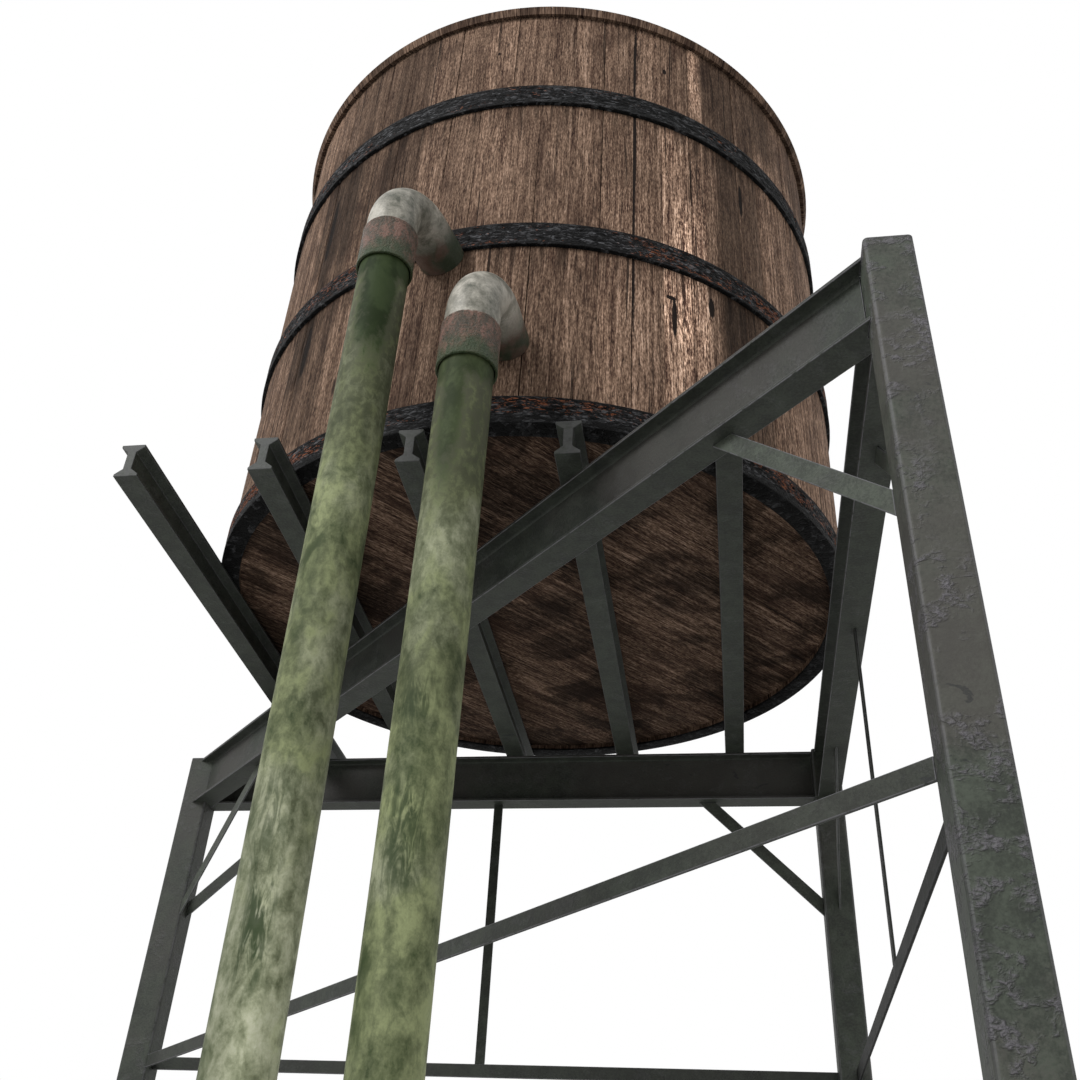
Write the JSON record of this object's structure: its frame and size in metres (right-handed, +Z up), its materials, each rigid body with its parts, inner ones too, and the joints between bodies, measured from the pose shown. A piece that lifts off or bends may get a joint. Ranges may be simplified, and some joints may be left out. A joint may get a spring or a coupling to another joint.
{
  "type": "water tower",
  "caption": "Round timber water tank with iron hoops and a low conical roof, standing on a steel frame and fed by upright pipes.",
  "frame": {"origin": "middle of the whole tower's plan at ground level, where the base plates rest", "axes": "+Z up, +X along the back beam towards the back right leg, +Y along the joists away from the pipes"},
  "size_m": [4.657, 4.905, 9.595],
  "materials": {
    "weathered_timber": "bare weathered softwood, grey-brown, open grain",
    "bottom_boards": "bare damp-stained softwood, dark brown",
    "hoop_iron": "rough black coating with rust flecks",
    "frame_paint": "aged dark grey-green paint, blistered, worn at the edges",
    "pipe_paint": "pale paint overgrown with green algae",
    "elbow_paint": "off-white paint, rust-stained sockets"
  },
  "bodies": {
    "root": {"base_plate_back_right": "frame_paint", "base_plate_front_right": "frame_paint", "base_plate_left": "frame_paint", "beam_back": "frame_paint", "beam_diagonal": "frame_paint", "beam_right": "frame_paint", "elbow_left": "elbow_paint", "elbow_right": "elbow_paint", "girt_back": "frame_paint", "girt_diagonal": "frame_paint", "girt_right": "frame_paint", "hoop_lower": "hoop_iron", "hoop_middle": "hoop_iron", "hoop_upper": "hoop_iron", "joist_1": "frame_paint", "joist_2": "frame_paint", "joist_3": "frame_paint", "joist_4": "frame_paint", "joist_5": "frame_paint", "knee_back_first": "frame_paint", "knee_back_second": "frame_paint", "knee_diagonal_first": "frame_paint", "knee_diagonal_second": "frame_paint", "knee_right_first": "frame_paint", "knee_right_second": "frame_paint", "leg_back_right": "frame_paint", "leg_cap_back_right": "frame_paint", "leg_cap_front_right": "frame_paint", "leg_cap_left": "frame_paint", "leg_front_right": "frame_paint", "leg_left": "frame_paint", "pipe_left": "pipe_paint", "pipe_right": "pipe_paint", "post_back": "frame_paint", "post_diagonal": "frame_paint", "post_right": "frame_paint", "roof": "weathered_timber", "tank_bottom": "bottom_boards", "tank_wall": "weathered_timber"}
  },
  "joints": []
}
